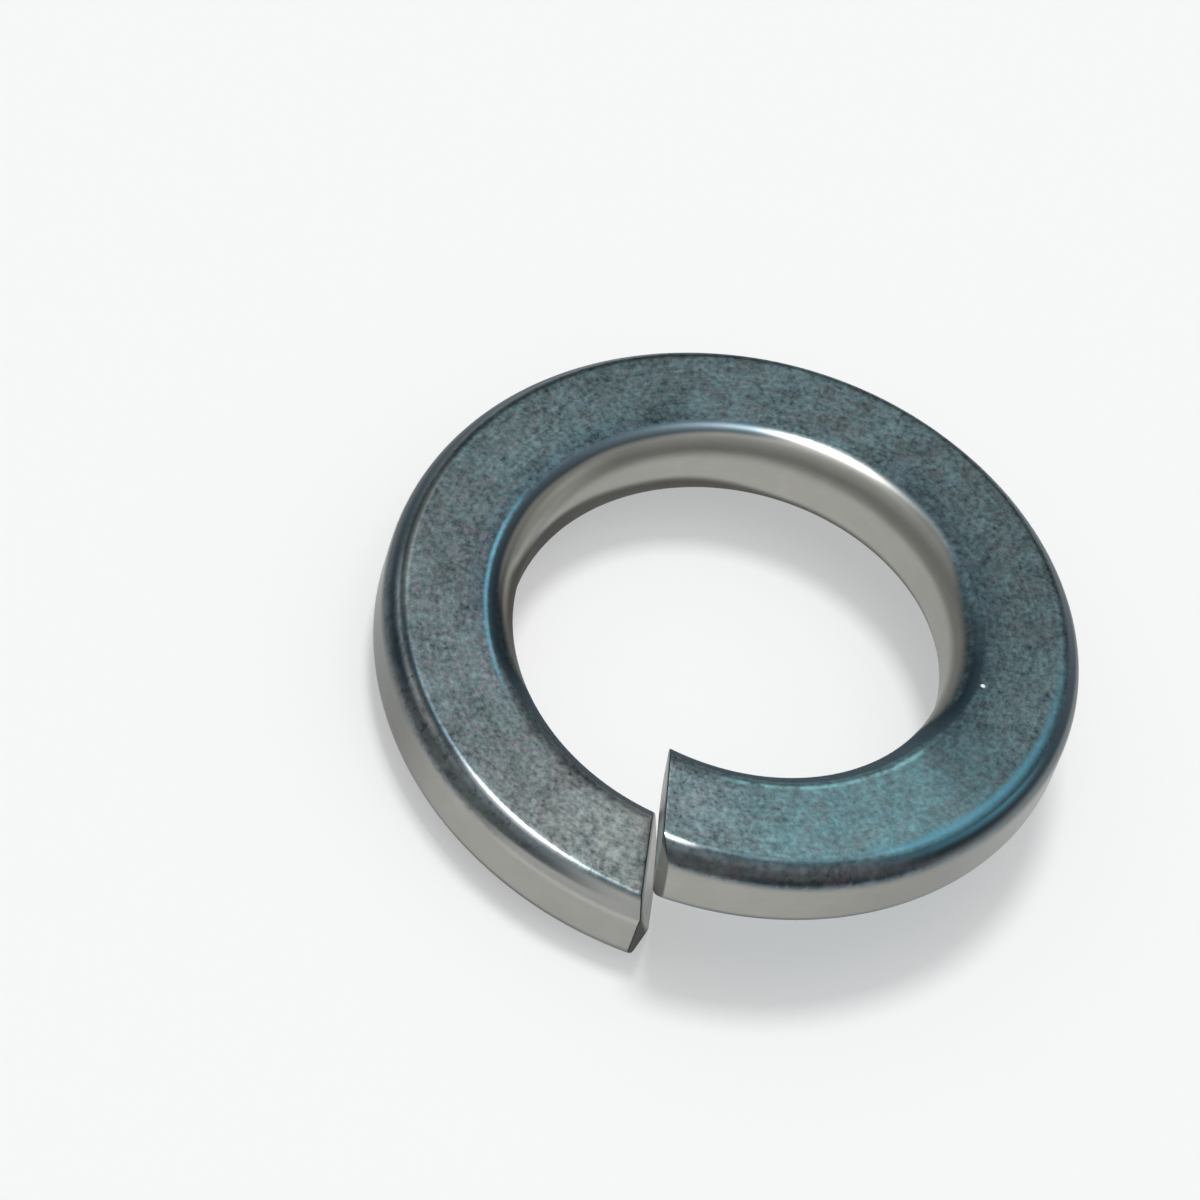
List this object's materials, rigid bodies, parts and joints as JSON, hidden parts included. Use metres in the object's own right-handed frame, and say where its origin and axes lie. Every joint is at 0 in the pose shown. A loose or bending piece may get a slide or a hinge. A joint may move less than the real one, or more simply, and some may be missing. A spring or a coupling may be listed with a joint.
{
  "type": "spring lock washer",
  "caption": "Split ring of bevelled spring wire, wound as a left-hand helix so that its ends stand apart; it keeps a tightened bolt or nut from working loose.",
  "frame": {"origin": "middle of the bore, halfway up the free height", "axes": "+Z along the bore axis, out of the side where the high end's top face is; the split faces -Y, with the high end on its +X side and the low end on its -X side"},
  "size_m": [0.0262, 0.0262, 0.0074],
  "materials": {
    "zinc_plated_steel": "clear blue zinc plate on spring steel, faintly mottled blue and teal on the flat faces, smoother and lighter on the rim and in the bore"
  },
  "bodies": {
    "root": {"lock_washer": "zinc_plated_steel"}
  },
  "joints": []
}
